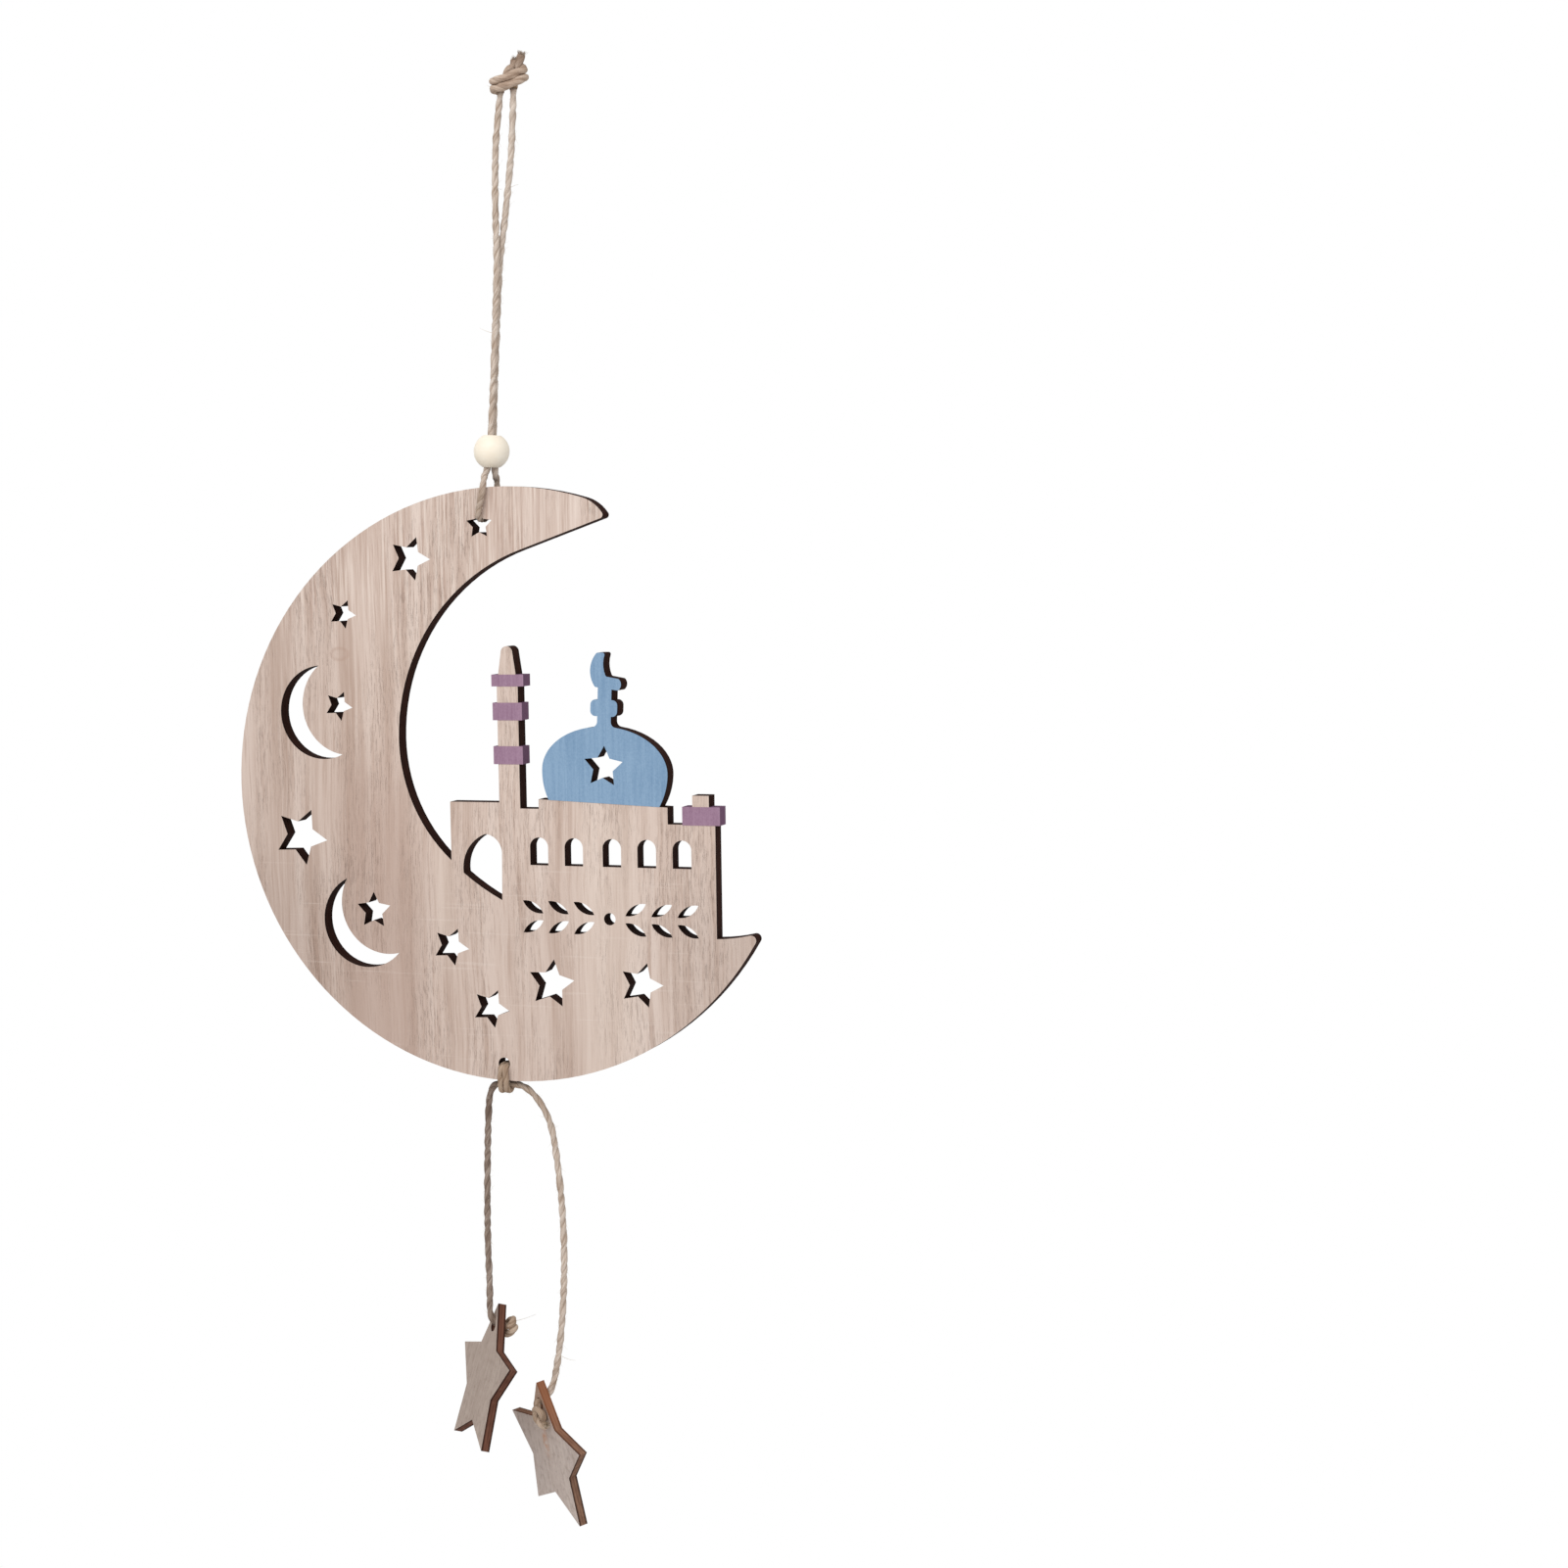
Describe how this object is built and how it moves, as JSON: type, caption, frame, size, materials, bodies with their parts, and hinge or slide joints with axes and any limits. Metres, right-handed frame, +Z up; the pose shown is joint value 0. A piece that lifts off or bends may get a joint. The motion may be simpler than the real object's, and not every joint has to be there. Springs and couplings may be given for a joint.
{
  "type": "eid crescent ornament",
  "caption": "Hanging laser-cut plywood crescent moon with a mosque scene, painted dome, wooden bead, twine loop and star charms on twine tails.",
  "frame": {"origin": "eye of the hanging loop, just under its knot, where a hook or nail holds it", "axes": "+Z up along the plumb line when it hangs, +X to the right as seen from the painted front, +Y to the back"},
  "size_m": [0.1587, 0.0331, 0.4094],
  "materials": {
    "plywood": "bare sanded plywood with laser-burnt edges",
    "charm_plywood": "bare thin plywood with laser-burnt edges",
    "bead_wood": "smooth sanded pale wood",
    "jute": "twisted natural fibre, slightly hairy",
    "blue_paint": "thin matte acrylic paint, grain showing through",
    "purple_paint": "thin matte acrylic paint, grain showing through"
  },
  "bodies": {
    "hanging_cord": {"cord_front": "jute", "cord_back": "jute", "hanging_knot": "jute"},
    "bead": {"wooden_bead": "bead_wood"},
    "moon": {"crescent_board": "plywood", "dome_paint": "blue_paint", "band_paint_1": "purple_paint", "band_paint_2": "purple_paint", "band_paint_3": "purple_paint", "band_paint_4": "purple_paint", "pendant_hitch": "jute"},
    "left_tail": {"tail_left": "jute", "stopper_left": "jute"},
    "left_star": {"star_charm_left": "charm_plywood"},
    "right_tail": {"tail_right": "jute", "stopper_right": "jute"},
    "right_star": {"star_charm_right": "charm_plywood"}
  },
  "joints": [
    {"name": "bead_slide", "type": "slide", "parent": "hanging_cord", "child": "bead", "axis": [-0.0103, 0, 0.9999], "range_m": [0, 0.04]},
    {"name": "moon_swing", "type": "hinge", "parent": "hanging_cord", "child": "moon", "pos_m": [-0.00123, 0, -0.1152], "axis": [0, -1, 0], "range_deg": [-15, 15]},
    {"name": "left_tail_swing", "type": "hinge", "parent": "moon", "child": "left_tail", "pos_m": [0.01434, 0, -0.27307], "axis": [0.9973, 0, 0.0732], "range_deg": [-35, 5]},
    {"name": "right_tail_swing", "type": "hinge", "parent": "moon", "child": "right_tail", "pos_m": [0.01434, 0, -0.27307], "axis": [0.9973, 0, 0.0732], "range_deg": [-5, 35]},
    {"name": "left_star_swing", "type": "hinge", "parent": "left_tail", "child": "left_star", "pos_m": [0.01417, 0.00087, -0.34366], "axis": [-0.7581, -0.6118, 0.2258], "range_deg": [-30, 30]},
    {"name": "right_star_swing", "type": "hinge", "parent": "right_tail", "child": "right_star", "pos_m": [0.03008, -0.00114, -0.36284], "axis": [-0.6368, -0.7387, -0.2209], "range_deg": [-30, 30]}
  ]
}
